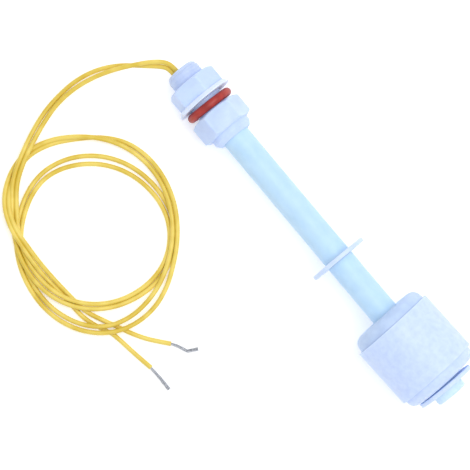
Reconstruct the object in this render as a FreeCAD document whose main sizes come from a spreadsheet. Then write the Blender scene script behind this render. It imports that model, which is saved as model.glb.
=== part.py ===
import FreeCAD, Part
import math
import os
import re

import Sketcher
from FreeCAD import Placement, Rotation, Vector

# Float level switch: a vertical-mount reed sensor lying on its side, with its two leads in a loose coil.
#
# Every piece is modelled along the stem: local +Z runs from the sealing face of the threaded head
# (z = 0) towards the float, and the thread lies below zero. The whole switch is then laid down on the
# edge of the nut's flange and the edge of the float, the two things that it rests on.
#
# Lengths are millimetres and angles are degrees.
SIZES = [
    # Threaded head
    ("thread_diameter", 9.5, "outside of the M10 thread"),
    ("thread_length", 14.4, "sealing face to tip"),
    ("thread_tip_diameter", 7.7, "flat at the tip"),
    ("thread_tip_chamfer", 1.4, "length of the cone at the tip"),
    ("head_across_flats", 13.6, "hexagon of the head"),
    ("head_hexagon_height", 6.5, "thickness of the hexagon"),
    ("head_hexagon_turn", -2.0, "turn of the hexagon about the stem"),
    ("head_corner_chamfer", 0.45, "fall of the chamfer at each corner"),
    ("collar_diameter", 11.9, "round collar above the hexagon"),
    ("collar_height", 2.7, "hexagon to the end of the collar"),
    ("collar_taper", 1.3, "length of the cone that ends the collar"),
    ("collar_end_diameter", 10.0, "small end of that cone"),
    ("socket_depth", 7.5, "depth that the stem tube enters the head"),
    ("socket_clearance", 0.03, "radial gap round the glued tube"),
    ("wire_bore_diameter", 6.0, "passage through the thread"),
    # Lock nut
    ("nut_across_flats", 13.2, "hexagon of the nut"),
    ("nut_height", 6.6, "whole height with its flange"),
    ("nut_gap", 3.65, "sealing face to the nut's flange"),
    ("nut_hexagon_turn", 16.4, "turn of the nut about the stem"),
    ("nut_corner_chamfer", 0.6, "fall of the chamfer at each corner"),
    ("nut_clearance", 0.06, "radial gap on the thread"),
    ("flange_diameter", 16.75, "rim of the nut's flange"),
    ("flange_top_diameter", 15.3, "where the flange's cone meets the flats"),
    ("flange_height", 1.25, "cone and rim together"),
    ("flange_rim", 0.3, "straight rim under the cone"),
    # Sealing ring
    ("seal_section", 2.35, "thickness of the rubber ring"),
    ("seal_clearance", 0.05, "radial gap on the thread"),
    ("seal_gap", 1.75, "sealing face to the middle of the ring"),
    ("seal_tilt", 1.9, "slant of the loose ring on the thread"),
    # Stem tube and the two stop rings
    ("tube_diameter", 8.0, "outside of the stem"),
    ("tube_wall", 0.9, "wall of the stem"),
    ("tube_length", 94.85, "cut length of the stem"),
    ("upper_ring_drop", 42.55, "end of the head's collar to the upper ring's groove"),
    ("ring_diameter", 17.1, "outside of a stop ring"),
    ("ring_thickness", 1.2, "thickness of a stop ring"),
    ("ring_slot_width", 6.2, "slot that snaps over the groove"),
    ("ring_rim_bevel", 0.35, "bevel of a stop ring's rim"),
    ("groove_diameter", 7.0, "bottom of the groove that holds a ring"),
    ("groove_play", 0.1, "axial play of a ring in its groove"),
    ("ring_clearance", 0.05, "radial gap between ring and groove"),
    # End plug
    ("plug_head_diameter", 9.1, "cap that closes the stem"),
    ("plug_head_height", 2.35, "thickness of that cap"),
    ("plug_head_bevel", 0.4, "bevel of the cap's edge"),
    ("plug_shank_length", 5.0, "length inside the stem"),
    ("plug_clearance", 0.03, "radial gap in the stem"),
    # Float
    ("float_gap", 0.5, "end of the float to the lower ring, lying down"),
    ("float_lean", 2.1, "slant of the loose float, seen from above"),
    ("float_bore_gap", 0.25, "least radial gap between the leaning float and the stem"),
    ("float_diameter", 24.0, "band of the float"),
    ("float_band_height", 17.8, "rim of the cup to the step"),
    ("float_step", 0.85, "step under the band"),
    ("float_base_height", 3.0, "step to the flat end"),
    ("float_base_round", 2.9, "shoulder of the flat end"),
    ("float_base_bevel", 2.4, "slope inside that shoulder"),
    ("float_wall", 1.3, "wall of the cup and the cap"),
    ("float_tube_wall", 1.0, "wall round the float's bore"),
    ("cap_diameter", 22.1, "outside of the cap"),
    ("cap_height", 3.5, "rim of the cup to the cap's flat end"),
    ("cap_round", 3.2, "shoulder of the cap"),
    ("cap_bevel", 1.9, "slope inside the cap's shoulder"),
    ("shoulder_land", 0.4, "least flat floor beside the slope inside a shoulder"),
    ("cap_spigot_depth", 1.5, "depth that the cap enters the cup"),
    ("cap_clearance", 0.05, "radial gap between cap and cup"),
    ("hub_wall", 1.2, "wall of the cap's hub"),
    # Ring magnet
    ("magnet_bore", 12.0, "hole of the ferrite ring"),
    ("magnet_diameter", 18.0, "outside of the ferrite ring"),
    ("magnet_height", 6.0, "thickness of the ferrite ring"),
    ("magnet_depth", 5.1, "cap's flat end to the magnet"),
    ("magnet_play", 0.3, "gap between the magnet and what traps it"),
    ("ledge_width", 1.3, "ledge that carries the magnet"),
    # Reed switch
    ("reed_diameter", 2.2, "glass of the reed switch"),
    ("reed_length", 14.0, "length of the glass"),
    ("reed_depth", 51.8, "end of the head's collar to the middle of the glass"),
    ("reed_offset", 1.3, "reed switch from the middle of the stem"),
    ("reed_end_bevel", 0.45, "bevel of the glass ends"),
    ("reed_glass_wall", 0.3, "wall of the glass"),
    ("reed_seal_length", 2.0, "solid glass round each lead"),
    ("reed_lead_entry", 1.0, "round lead inside the gas space"),
    ("reed_lead_diameter", 0.5, "lead of the reed switch"),
    ("reed_lead_length", 6.0, "lead outside the glass"),
    ("reed_blade_width", 0.8, "flattened blade"),
    ("reed_blade_thickness", 0.2, "flattened blade"),
    ("reed_blade_lap", 1.0, "overlap of the two blades"),
    ("reed_contact_gap", 0.06, "open contact"),
    ("bond_gap", 0.02, "gap at glass seals, solder and potting"),
    # Wires inside the stem
    ("wire_diameter", 1.3, "insulated lead"),
    ("wire_a_across", -0.85, "first wire, sideways from the middle of the stem"),
    ("wire_a_up", 0.35, "first wire, up from the middle of the stem"),
    ("wire_b_across", -2.0, "second wire, sideways from the middle of the stem"),
    ("wire_b_up", -0.3, "second wire, up from the middle of the stem"),
    ("conductor_diameter", 0.5, "stripped end inside the stem"),
    ("conductor_run", 1.2, "stripped length before its bend"),
    ("conductor_jog", 3.4, "length over which it crosses to the reed's lead"),
    ("lap_spacing", 0.55, "conductor to lead inside a solder joint"),
    ("solder_diameter", 1.6, "solder joint"),
    ("solder_length", 3.0, "solder joint"),
    ("sleeve_diameter", 5.9, "insulating sleeve inside the stem"),
    ("sleeve_wall", 0.25, "wall of the insulating sleeve"),
    ("sleeve_overhang", 4.0, "sleeve past the ends of the reed's leads"),
    ("potting_recess", 0.3, "thread's tip to the potting"),
    ("potting_length", 12.1, "resin in the wire passage"),
    # Leads outside
    ("bare_end_diameter", 0.9, "twisted strands of a stripped end"),
    ("coil_height", 2.9, "turns of the leads as they lie on each other"),
]
ALIASES = {alias for alias, _, _ in SIZES}

doc = FreeCAD.newDocument("float_level_switch")
sheet = doc.addObject("Spreadsheet::Sheet", "sizes")


def fill_sheet():
    """Write one named size to each row of the sheet."""
    for row, (alias, value, meaning) in enumerate(SIZES, start=1):
        sheet.set(f"A{row}", alias)
        sheet.set(f"B{row}", str(value))
        sheet.setAlias(f"B{row}", alias)
        sheet.set(f"C{row}", meaning)
    doc.recompute()


def size(alias):
    """Read a size back from the sheet."""
    return float(getattr(sheet, alias))


def bound(expression):
    """Point each size named in an expression at the sheet."""
    return re.sub(r"[a-z]\w*", lambda word: "sizes." * (word.group() in ALIASES) + word.group(), expression)


# ---- drawing -------------------------------------------------------------------------------------

H_AXIS = -1
V_AXIS = -2
START = 1
CENTRE = 3


def new_body(node):
    body = doc.addObject("PartDesign::Body", node)
    body.Label = node
    return body


def new_sketch(body, name, role, raised="0"):
    """Attach a sketch to one of the body's own planes, raised along that plane's normal."""
    sketch = body.newObject("Sketcher::SketchObject", name)
    plane = next(feature for feature in body.Origin.OriginFeatures if feature.Role == role)
    sketch.AttachmentSupport = [(plane, "")]
    sketch.MapMode = "FlatFace"
    sketch.setExpression("AttachmentOffset.Base.z", bound(raised))
    return sketch


def pin_point(sketch, geometry, point, across, along):
    """Hold a point at a distance from each axis of its sketch."""
    for kind, axis, distance in (("DistanceX", V_AXIS, across), ("DistanceY", H_AXIS, along)):
        if distance == "0":
            sketch.addConstraint(Sketcher.Constraint("PointOnObject", geometry, point, axis))
        else:
            index = sketch.addConstraint(Sketcher.Constraint(kind, -1, START, geometry, point, 1.0))
            sketch.setExpression(f"Constraints[{index}]", bound(distance))


def draw_outline(sketch, corners):
    """Close an outline of straight lines whose corners are pairs of expressions."""
    count = len(corners)
    rough = [Vector(20 + 10 * math.cos(2 * math.pi * i / count), 10 * math.sin(2 * math.pi * i / count), 0)
             for i in range(count)]
    for i in range(count):
        sketch.addGeometry(Part.LineSegment(rough[i], rough[(i + 1) % count]))
    for i in range(count):
        sketch.addConstraint(Sketcher.Constraint("Coincident", i, 2, (i + 1) % count, START))
    for i, (across, along) in enumerate(corners):
        pin_point(sketch, i, START, across, along)


def draw_circle(sketch, across, along, diameter):
    index = sketch.addGeometry(Part.Circle(Vector(1, 1, 0), Vector(0, 0, 1), 1))
    pin_point(sketch, index, CENTRE, across, along)
    bound_diameter = sketch.addConstraint(Sketcher.Constraint("Diameter", index, 1.0))
    sketch.setExpression(f"Constraints[{bound_diameter}]", bound(diameter))


def turn_profile(body, name, corners, kind="PartDesign::Revolution"):
    """Turn a profile of (radius, height) corners about the stem."""
    sketch = new_sketch(body, name + "_profile", "XZ_Plane")
    draw_outline(sketch, corners)
    feature = body.newObject(kind, name)
    feature.Profile = sketch
    feature.ReferenceAxis = (sketch, ["V_Axis"])
    feature.Angle = 360
    body.Tip = feature
    return feature


def cut_profile(body, name, corners):
    return turn_profile(body, name, corners, "PartDesign::Groove")


def pad_sketch(body, name, sketch, length):
    feature = body.newObject("PartDesign::Pad", name)
    feature.Profile = sketch
    feature.setExpression("Length", bound(length))
    body.Tip = feature
    return feature


def pocket_down(body, name, sketch):
    """Cut a sketch down through everything below it, and make sure that it did cut."""
    doc.recompute()
    before = body.Shape.Volume
    feature = body.newObject("PartDesign::Pocket", name)
    feature.Profile = sketch
    feature.Type = "ThroughAll"
    body.Tip = feature
    doc.recompute()
    if body.Shape.Volume >= before:
        raise RuntimeError(f"{name} cuts nothing")
    return feature


def pad_hexagon(body, name, across_flats, turn, raised, height):
    """Pad a hexagon whose first corner lies 30 degrees past its turn."""
    sketch = new_sketch(body, name + "_hexagon", "XY_Plane", raised)
    corner = f"{across_flats} / 2 / cos(30)"
    angles = [f"({turn} + {30 + 60 * i})" for i in range(6)]
    draw_outline(sketch, [(f"{corner} * cos{angle}", f"{corner} * sin{angle}") for angle in angles])
    return pad_sketch(body, name, sketch, height)


def chamfer_corners(body, name, across_flats, face, fall):
    """Turn away a hexagon's corners at one face; fall is signed, away from that face."""
    flat = f"{across_flats} / 2"
    outside = f"{across_flats} / cos(30) - {across_flats} / 2"
    return cut_profile(body, name, [
        (flat, face),
        (outside, face),
        (outside, f"{face} + 2 * ({fall})"),
    ])


def ease_rims(body, name, kind, dimension, rim, which):
    """Fillet or chamfer the lowest, the highest or both of the circular edges of one radius."""
    doc.recompute()
    base = body.Tip
    rims = [(edge.Curve.Center.z, f"Edge{number}")
            for number, edge in enumerate(base.Shape.Edges, start=1)
            if isinstance(edge.Curve, Part.Circle) and abs(edge.Curve.Radius - rim) < 0.001]
    wanted = {"lowest": [min(rims)], "highest": [max(rims)], "both": [min(rims), max(rims)]}
    feature = body.newObject(f"PartDesign::{kind}", name)
    feature.Base = (base, [edge for _, edge in wanted[which]])
    feature.setExpression({"Fillet": "Radius", "Chamfer": "Size"}[kind], bound(dimension))
    body.Tip = feature
    return feature


# ---- where things lie ----------------------------------------------------------------------------

# Heights along the stem, written once for every piece that meets there.
COLLAR_END = "(head_hexagon_height + collar_height)"
TUBE_START = f"({COLLAR_END} - socket_depth)"
TUBE_END = f"({TUBE_START} + tube_length)"
NECK_LENGTH = "(ring_thickness + groove_play)"
UPPER_GROOVE = f"({COLLAR_END} + upper_ring_drop)"
LOWER_RING = f"({TUBE_END} + groove_play / 2)"
CUP_END = f"({LOWER_RING} - float_gap)"
CUP_STEP = f"({CUP_END} - float_base_height)"
CUP_RIM = f"({CUP_STEP} - float_band_height)"
CAP_END = f"({CUP_RIM} - cap_height)"
CAP_PLATE = f"({CAP_END} + float_wall)"
FLOAT_BORE = f"(tube_diameter / 2 + (({CUP_END}) - ({CAP_END})) / 2 * tan(float_lean) + float_bore_gap)"
MAGNET_START = f"({CAP_END} + magnet_depth)"
MAGNET_END = f"({MAGNET_START} + magnet_height)"
NUT_FACE = "(0 - nut_gap)"
NUT_END = "(0 - nut_gap - nut_height)"
REED_MIDDLE = f"({COLLAR_END} + reed_depth)"


def rest_placement(float_cap, end_plug):
    """Lay the stem down on the nut's flange and the rim of the float's band.

    The origin is on the floor, halfway between the thread's tip and the end plug.
    """
    flange = size("flange_diameter") / 2
    flange_edge = -size("nut_gap") - size("flange_rim")
    band_edge = float_cap.Shape.BoundBox.ZMin + size("cap_height")
    slope = math.atan2(size("float_diameter") / 2 - flange, band_edge - flange_edge)
    height = flange * math.cos(slope) - flange_edge * math.sin(slope)
    tip = -size("thread_length") * math.cos(slope) - size("thread_tip_diameter") / 2 * math.sin(slope)
    far = end_plug.Shape.BoundBox.ZMax * math.cos(slope) + size("plug_head_diameter") / 2 * math.sin(slope)
    turn = Rotation(Vector(0, 1, 0), 90 - math.degrees(slope))
    return Placement(Vector(-(tip + far) / 2, 0, height), turn)


def lean_placement(rest, float_cup, float_cap):
    """Swing the loose float a little about the vertical through its own middle."""
    middle = (float_cup.Shape.BoundBox.ZMax + float_cap.Shape.BoundBox.ZMin) / 2
    swing = Rotation(Vector(0, 0, 1), size("float_lean"))
    return Placement(Vector(0, 0, 0), swing, rest.multVec(Vector(0, 0, middle))) * rest


# ---- threaded end --------------------------------------------------------------------------------

def threaded_head():
    """One moulding: hollow thread, hexagon, and the collar that the tube is glued into."""
    body = new_body("threaded_head")
    pad_hexagon(body, "hexagon", "head_across_flats", "head_hexagon_turn", "0", "head_hexagon_height")
    chamfer_corners(body, "face_chamfer", "head_across_flats", "0", "head_corner_chamfer")
    top_fall = "0 - head_corner_chamfer"
    chamfer_corners(body, "top_chamfer", "head_across_flats", "head_hexagon_height", top_fall)
    turn_profile(body, "thread_and_collar", [
        ("0", "0 - thread_length"),
        ("thread_tip_diameter / 2", "0 - thread_length"),
        ("thread_diameter / 2", "thread_tip_chamfer - thread_length"),
        ("thread_diameter / 2", "head_hexagon_height / 2"),
        ("collar_diameter / 2", "head_hexagon_height / 2"),
        ("collar_diameter / 2", f"{COLLAR_END} - collar_taper"),
        ("collar_end_diameter / 2", COLLAR_END),
        ("0", COLLAR_END),
    ])
    socket = "tube_diameter / 2 + socket_clearance"
    cut_profile(body, "wire_passage_and_socket", [
        ("0", "0 - thread_length"),
        ("wire_bore_diameter / 2", "0 - thread_length"),
        ("wire_bore_diameter / 2", TUBE_START),
        (socket, TUBE_START),
        (socket, COLLAR_END),
        ("0", COLLAR_END),
    ])
    return body


def lock_nut():
    """Hexagon nut with a conical flange, backed off from the sealing ring."""
    body = new_body("lock_nut")
    pad_hexagon(body, "hexagon", "nut_across_flats", "nut_hexagon_turn", NUT_END, "nut_height")
    chamfer_corners(body, "top_chamfer", "nut_across_flats", NUT_END, "nut_corner_chamfer")
    turn_profile(body, "flange", [
        ("0", f"{NUT_FACE} - flange_height"),
        ("flange_top_diameter / 2", f"{NUT_FACE} - flange_height"),
        ("flange_diameter / 2", f"{NUT_FACE} - flange_rim"),
        ("flange_diameter / 2", NUT_FACE),
        ("0", NUT_FACE),
    ])
    bore = "thread_diameter / 2 + nut_clearance"
    cut_profile(body, "bore", [
        ("0", NUT_END),
        (bore, NUT_END),
        (bore, NUT_FACE),
        ("0", NUT_FACE),
    ])
    return body


def sealing_ring():
    """Rubber ring, loose on the thread between the nut and the sealing face."""
    ring = doc.addObject("Part::Torus", "sealing_ring")
    ring.setExpression("Radius1", bound("thread_diameter / 2 + seal_clearance + seal_section / 2"))
    ring.setExpression("Radius2", bound("seal_section / 2"))
    return ring


# ---- stem ----------------------------------------------------------------------------------------

def stem_tube():
    """Plain tube with one groove, where the upper stop ring snaps in."""
    body = new_body("stem_tube")
    turn_profile(body, "wall", [
        ("tube_diameter / 2 - tube_wall", TUBE_START),
        ("tube_diameter / 2", TUBE_START),
        ("tube_diameter / 2", TUBE_END),
        ("tube_diameter / 2 - tube_wall", TUBE_END),
    ])
    cut_profile(body, "ring_groove", [
        ("groove_diameter / 2", UPPER_GROOVE),
        ("tube_diameter", UPPER_GROOVE),
        ("tube_diameter", f"{UPPER_GROOVE} + {NECK_LENGTH}"),
        ("groove_diameter / 2", f"{UPPER_GROOVE} + {NECK_LENGTH}"),
    ])
    return body


def end_plug():
    """Turned plug: a shank glued into the stem, a neck for the lower ring and a cap."""
    body = new_body("end_plug")
    shank = "tube_diameter / 2 - tube_wall - plug_clearance"
    neck_end = f"({TUBE_END} + {NECK_LENGTH})"
    turn_profile(body, "plug", [
        ("0", f"{TUBE_END} - plug_shank_length"),
        (shank, f"{TUBE_END} - plug_shank_length"),
        (shank, TUBE_END),
        ("groove_diameter / 2", TUBE_END),
        ("groove_diameter / 2", neck_end),
        ("plug_head_diameter / 2", neck_end),
        ("plug_head_diameter / 2", f"{neck_end} + plug_head_height"),
        ("0", f"{neck_end} + plug_head_height"),
    ])
    ease_rims(body, "cap_edge", "Chamfer", "plug_head_bevel", size("plug_head_diameter") / 2, "highest")
    return body


def stop_ring(node, height):
    """Snap ring: a disc with a hole for the groove and a slot that opens it on one side."""
    body = new_body(node)
    hole = "groove_diameter + 2 * ring_clearance"
    disc = new_sketch(body, "disc", "XY_Plane", height)
    draw_circle(disc, "0", "0", "ring_diameter")
    draw_circle(disc, "0", "0", hole)
    pad_sketch(body, "ring", disc, "ring_thickness")
    ease_rims(body, "rim", "Chamfer", "ring_rim_bevel", size("ring_diameter") / 2, "both")
    slot = new_sketch(body, "slot_outline", "XY_Plane", f"{height} + ring_thickness")
    draw_outline(slot, [
        ("0", "0 - ring_slot_width / 2"),
        ("ring_diameter", "0 - ring_slot_width / 2"),
        ("ring_diameter", "ring_slot_width / 2"),
        ("0", "ring_slot_width / 2"),
    ])
    pocket_down(body, "slot", slot)
    return body


# ---- float ---------------------------------------------------------------------------------------

def float_cup():
    """Lower shell: stepped outer wall, flat end, and the inner tube with the magnet's ledge."""
    body = new_body("float_cup")
    outer = "float_diameter / 2"
    inner_tube = f"{FLOAT_BORE} + float_tube_wall"
    ledge = f"{inner_tube} + ledge_width"
    turn_profile(body, "shell", [
        (FLOAT_BORE, CUP_END),
        (f"{outer} - float_step", CUP_END),
        (f"{outer} - float_step", CUP_STEP),
        (outer, CUP_STEP),
        (outer, CUP_RIM),
        (f"{outer} - float_wall", CUP_RIM),
        (f"{outer} - float_wall", f"{CUP_END} - float_wall"),
        (ledge, f"{CUP_END} - float_wall"),
        (ledge, f"{MAGNET_END} + magnet_play"),
        (inner_tube, f"{MAGNET_END} + magnet_play"),
        (inner_tube, CAP_PLATE),
        (FLOAT_BORE, CAP_PLATE),
    ])
    base = size("float_diameter") / 2 - size("float_step")
    inside = size("float_diameter") / 2 - size("float_wall")
    slope = f"min(float_base_bevel; {outer} - float_wall - ({ledge}) - shoulder_land)"
    ease_rims(body, "shoulder", "Fillet", "float_base_round", base, "highest")
    ease_rims(body, "inner_shoulder", "Chamfer", slope, inside, "highest")
    return body


def float_cap():
    """Upper shell: a shallow lid whose spigot enters the cup and whose hub holds the magnet down."""
    body = new_body("float_cap")
    outer = "cap_diameter / 2"
    spigot = "float_diameter / 2 - float_wall - cap_clearance"
    hub_bore = f"{FLOAT_BORE} + float_tube_wall + cap_clearance"
    hub_end = f"{MAGNET_START} - magnet_play"
    turn_profile(body, "lid", [
        (FLOAT_BORE, CAP_END),
        (outer, CAP_END),
        (outer, CUP_RIM),
        (spigot, CUP_RIM),
        (spigot, f"{CUP_RIM} + cap_spigot_depth"),
        (f"{spigot} - float_wall", f"{CUP_RIM} + cap_spigot_depth"),
        (f"{spigot} - float_wall", CAP_PLATE),
        (f"{hub_bore} + hub_wall", CAP_PLATE),
        (f"{hub_bore} + hub_wall", hub_end),
        (hub_bore, hub_end),
        (hub_bore, CAP_PLATE),
        (FLOAT_BORE, CAP_PLATE),
    ])
    inside = size("float_diameter") / 2 - 2 * size("float_wall") - size("cap_clearance")
    slope = f"min(cap_bevel; {spigot} - float_wall - ({hub_bore} + hub_wall) - shoulder_land)"
    ease_rims(body, "shoulder", "Fillet", "cap_round", size("cap_diameter") / 2, "lowest")
    ease_rims(body, "inner_shoulder", "Chamfer", slope, inside, "lowest")
    return body


def ring_magnet():
    """Ferrite ring, trapped between the cup's ledge and the cap's hub."""
    body = new_body("ring_magnet")
    turn_profile(body, "ring", [
        ("magnet_bore / 2", MAGNET_START),
        ("magnet_diameter / 2", MAGNET_START),
        ("magnet_diameter / 2", MAGNET_END),
        ("magnet_bore / 2", MAGNET_END),
    ])
    return body


# ---- reed switch ---------------------------------------------------------------------------------

def reed_glass():
    """Glass envelope with a gas space, sealed round a lead at each end."""
    body = new_body("reed_glass")
    lead_hole = "reed_lead_diameter / 2 + bond_gap"
    cavity = "reed_diameter / 2 - reed_glass_wall"
    turn_profile(body, "envelope", [
        (lead_hole, "0 - reed_length / 2"),
        ("reed_diameter / 2", "0 - reed_length / 2"),
        ("reed_diameter / 2", "reed_length / 2"),
        (lead_hole, "reed_length / 2"),
        (lead_hole, "reed_length / 2 - reed_seal_length"),
        (cavity, "reed_length / 2 - reed_seal_length"),
        (cavity, "reed_seal_length - reed_length / 2"),
        (lead_hole, "reed_seal_length - reed_length / 2"),
    ])
    ease_rims(body, "ends", "Chamfer", "reed_end_bevel", size("reed_diameter") / 2, "both")
    return body


def reed_blade(node, side):
    """A round lead, rolled flat inside the glass. Side is -1 for the head's end, +1 for the float's."""
    # The round part ends halfway into the gas space; the blade starts inside it and reaches past the middle.
    lead_end = "(reed_length / 2 + reed_lead_length)"
    round_end = "(reed_length / 2 - reed_seal_length - reed_lead_entry)"
    lead = doc.addObject("Part::Cylinder", node + "_lead")
    lead.setExpression("Radius", bound("reed_lead_diameter / 2"))
    lead.setExpression("Height", bound(f"{lead_end} - {round_end}"))
    lead.setExpression("Placement.Base.z", bound(round_end if side > 0 else f"0 - {lead_end}"))
    blade = doc.addObject("Part::Box", node + "_flat")
    blade.setExpression("Length", bound("reed_blade_thickness"))
    blade.setExpression("Width", bound("reed_blade_width"))
    blade.setExpression("Height", bound(f"{round_end} + reed_blade_lap"))
    blade_x = "reed_contact_gap / 2" if side > 0 else "0 - reed_contact_gap / 2 - reed_blade_thickness"
    blade_z = "0 - reed_blade_lap / 2" if side > 0 else f"0 - {round_end} - reed_blade_lap / 2"
    blade.setExpression("Placement.Base.x", bound(blade_x))
    blade.setExpression("Placement.Base.y", bound("0 - reed_blade_width / 2"))
    blade.setExpression("Placement.Base.z", bound(blade_z))
    whole = doc.addObject("Part::Fuse", node)
    whole.Base = lead
    whole.Tool = blade
    return whole


# ---- wires ---------------------------------------------------------------------------------------

def tube_along(points, diameter):
    """A round tube on straight runs joined by tangent arcs, and the radii of those arcs.

    Each arc is as large as its two runs allow: it takes 0.45 of the shorter one.
    """
    edges, radii = [], []
    run_start = points[0]
    for before, corner, after in zip(points, points[1:], points[2:]):
        arriving = corner - before
        leaving = after - corner
        half_turn = arriving.getAngle(leaving) / 2
        reach = 0.45 * min(arriving.Length, leaving.Length)
        radius = reach / math.tan(half_turn)
        arriving.normalize()
        leaving.normalize()
        arc_start = corner - arriving * reach
        arc_end = corner + leaving * reach
        inward = (leaving - arriving).normalize()
        arc_middle = corner + inward * (radius / math.cos(half_turn) - radius)
        edges.append(Part.LineSegment(run_start, arc_start).toShape())
        edges.append(Part.Arc(arc_start, arc_middle, arc_end).toShape())
        run_start = arc_end
        radii.append(radius)
    edges.append(Part.LineSegment(run_start, points[-1]).toShape())
    path = Part.Wire(edges)
    section = Part.Wire(Part.Circle(points[0], points[1] - points[0], diameter / 2).toShape())
    solid = path.makePipeShell([section], True, False)
    expected = math.pi * diameter ** 2 / 4 * path.Length
    if abs(solid.Volume / expected - 1) > 0.01:
        raise RuntimeError(f"tube volume {solid.Volume:.2f}, expected {expected:.2f}")
    return solid, path.Length, radii


def wire_node(node, points, diameter):
    """Give a tube its own object, and print how long and how tightly bent it is."""
    solid, length, radii = tube_along(points, diameter)
    feature = doc.addObject("Part::Feature", node)
    feature.Shape = solid
    tight = ", ".join(f"{radius:.1f}" for radius in radii)
    print(f"{node}: {length:.1f} long, bend radii {tight}")
    return feature


def stem_point(across, up, height):
    """A point inside the stem, where up is away from the floor."""
    return Vector(-up, across, height)


def inner_wire(node, strip):
    """Insulated wire from the thread's tip to the height where it is stripped."""
    wire = doc.addObject("Part::Cylinder", node)
    wire.setExpression("Radius", bound("wire_diameter / 2"))
    wire.setExpression("Height", bound(f"{strip} + thread_length"))
    return wire


def conductor_points(across, up, strip):
    """Stripped wire: straight out of its insulation, then across to lie beside the reed's lead."""
    bend = strip + size("conductor_run")
    lap = bend + size("conductor_jog")
    beside = size("reed_offset") - size("lap_spacing")
    return [
        stem_point(across, up, strip),
        stem_point(across, up, bend),
        stem_point(beside, 0, lap),
        stem_point(beside, 0, lap + size("solder_length")),
    ]


def solder_joint(node, conductor):
    """A bead of solder round a reed lead and the end of the conductor beside it."""
    length = size("solder_length")
    low = conductor[-1].z - length
    across = size("reed_offset") - size("lap_spacing") / 2
    bead = Part.makeCylinder(size("solder_diameter") / 2, length, stem_point(across, 0, low))
    lead_hole = size("reed_lead_diameter") / 2 + size("bond_gap")
    lead = Part.makeCylinder(lead_hole, 3 * length, stem_point(size("reed_offset"), 0, low - length))
    wire, _, _ = tube_along(conductor, size("conductor_diameter") + 2 * size("bond_gap"))
    feature = doc.addObject("Part::Feature", node)
    feature.Shape = bead.cut(lead).cut(wire)
    return feature


def insulating_sleeve():
    """Thin sleeve that keeps the bare leads off each other and off the wires."""
    body = new_body("insulating_sleeve")
    half = "(reed_length / 2 + reed_lead_length + sleeve_overhang)"
    turn_profile(body, "wall", [
        ("sleeve_diameter / 2 - sleeve_wall", f"{REED_MIDDLE} - {half}"),
        ("sleeve_diameter / 2", f"{REED_MIDDLE} - {half}"),
        ("sleeve_diameter / 2", f"{REED_MIDDLE} + {half}"),
        ("sleeve_diameter / 2 - sleeve_wall", f"{REED_MIDDLE} + {half}"),
    ])
    return body


def potting_plug():
    """Resin that seals the wire passage and grips both wires."""
    body = new_body("potting_plug")
    turn_profile(body, "resin", [
        ("0", "potting_recess - thread_length"),
        ("wire_bore_diameter / 2 - bond_gap", "potting_recess - thread_length"),
        ("wire_bore_diameter / 2 - bond_gap", "potting_recess + potting_length - thread_length"),
        ("0", "potting_recess + potting_length - thread_length"),
    ])
    holes = new_sketch(body, "wire_holes", "XY_Plane", "0")
    draw_circle(holes, "0 - wire_a_up", "wire_a_across", "wire_diameter + 2 * bond_gap")
    draw_circle(holes, "0 - wire_b_up", "wire_b_across", "wire_diameter + 2 * bond_gap")
    pocket_down(body, "wire_passages", holes)
    return body


# ---- leads outside the switch --------------------------------------------------------------------

# Routes of the leads on the floor: millimetres from the point below the middle of the sealing face,
# with x towards the float and z up. Each lead first follows the thread's passage straight out.
LEAD_A = [
    (-18.9, -1.9, 8.0), (-21.3, -4.8, 7.5), (-23.7, -8.9, 6.7), (-26.4, -14.1, 5.5),
    (-28.4, -19.7, 4.0), (-29.5, -25.6, 2.6), (-29.3, -31.9, 1.6), (-27.8, -37.3, 1.3),
    (-25.9, -42.3, 1.8), (-24.2, -46.2, 2.1), (-22.9, -48.8, 1.9),
]
LEAD_B = [
    (-18.6, -3.4, 6.9), (-21.1, -6.1, 6.0), (-23.8, -8.9, 5.1), (-26.9, -12.7, 4.3),
    (-29.5, -17.7, 3.4), (-30.9, -23.7, 2.2), (-30.8, -30.0, 1.2), (-29.8, -35.9, 0.7),
    (-27.8, -41.5, 1.2), (-25.9, -46.0, 2.0), (-24.4, -49.0, 1.9),
]
TAIL_A = [
    (25.8, -61.1, 0.65), (28.6, -60.4, 0.65), (32.4, -59.8, 0.65),
    (37.3, -59.2, 0.65), (42.6, -58.3, 0.65),
]
TAIL_B = [
    (26.4, -58.7, 0.65), (29.0, -57.7, 0.65), (32.1, -56.3, 0.65),
    (35.4, -54.4, 0.65), (38.3, -52.2, 0.65), (41.1, -49.9, 0.65),
]
BARE_A = [(42.6, -58.3, 0.65), (44.4, -58.0, 0.65), (47.2, -58.0, 0.55), (50.4, -58.3, 0.45)]
BARE_B = [(41.1, -49.9, 0.65), (42.4, -48.8, 0.65), (44.6, -47.4, 0.55), (46.7, -44.9, 0.45)]
LEAD_START_RUN = 2.3

# Outline of the coil of both leads, seen from above.
COIL_OUTSIDE = [
    (-18.7, -32.3), (-10.8, -24.6), (-1.6, -21.6), (8.4, -22.8), (18.1, -28.7), (25.5, -36.1),
    (30.0, -43.5), (31.3, -52.8), (27.6, -62.2), (20.2, -68.5), (10.1, -70.7), (-1.0, -68.6),
    (-10.2, -64.6), (-17.9, -61.6), (-23.2, -56.4), (-25.0, -48.4), (-23.2, -39.4),
]
COIL_INSIDE = [
    (-10.2, -35.5), (-1.0, -29.3), (5.9, -27.9), (14.0, -29.3), (19.6, -32.2), (22.6, -38.0),
    (22.9, -49.3), (20.6, -56.0), (15.8, -60.6), (8.0, -62.3), (-1.0, -61.8), (-8.0, -60.4),
    (-12.4, -56.0), (-14.8, -50.0), (-14.2, -42.4),
]


def on_floor(rest, point):
    """Move a point of a route from below the sealing face to the part's own frame."""
    return Vector(point[0] + rest.Base.x, point[1], point[2])


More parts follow.
